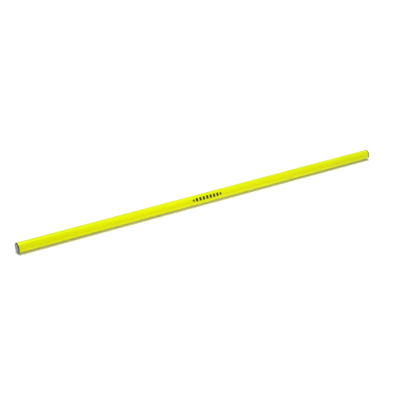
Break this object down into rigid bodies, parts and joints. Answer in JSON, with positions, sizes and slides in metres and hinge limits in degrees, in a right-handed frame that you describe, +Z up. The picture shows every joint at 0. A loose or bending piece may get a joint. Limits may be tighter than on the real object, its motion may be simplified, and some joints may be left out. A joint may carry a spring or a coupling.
{
  "type": "alignment stick",
  "caption": "Straight hollow plastic training stick, one metre long and 25 mm thick, with a flat push-in plug in each end.",
  "frame": {"origin": "under the middle of the stick's length, on the surface it lies on", "axes": "+X along the stick, from the left plug to the right plug; +Y across it; +Z up from the surface it lies on"},
  "size_m": [1, 0.025, 0.025],
  "materials": {
    "yellow_plastic": "extruded, satin, fluorescent yellow all through",
    "black_plastic": "moulded, satin"
  },
  "bodies": {
    "tube": {"tube": "yellow_plastic"},
    "left_end_plug": {"left_end_plug": "black_plastic"},
    "right_end_plug": {"right_end_plug": "black_plastic"}
  },
  "joints": [
    {"name": "left_plug_pull", "type": "slide", "parent": "tube", "child": "left_end_plug", "axis": [-1, 0, 0], "range_m": [0, 0.03]},
    {"name": "right_plug_pull", "type": "slide", "parent": "tube", "child": "right_end_plug", "axis": [1, 0, 0], "range_m": [0, 0.03]}
  ]
}
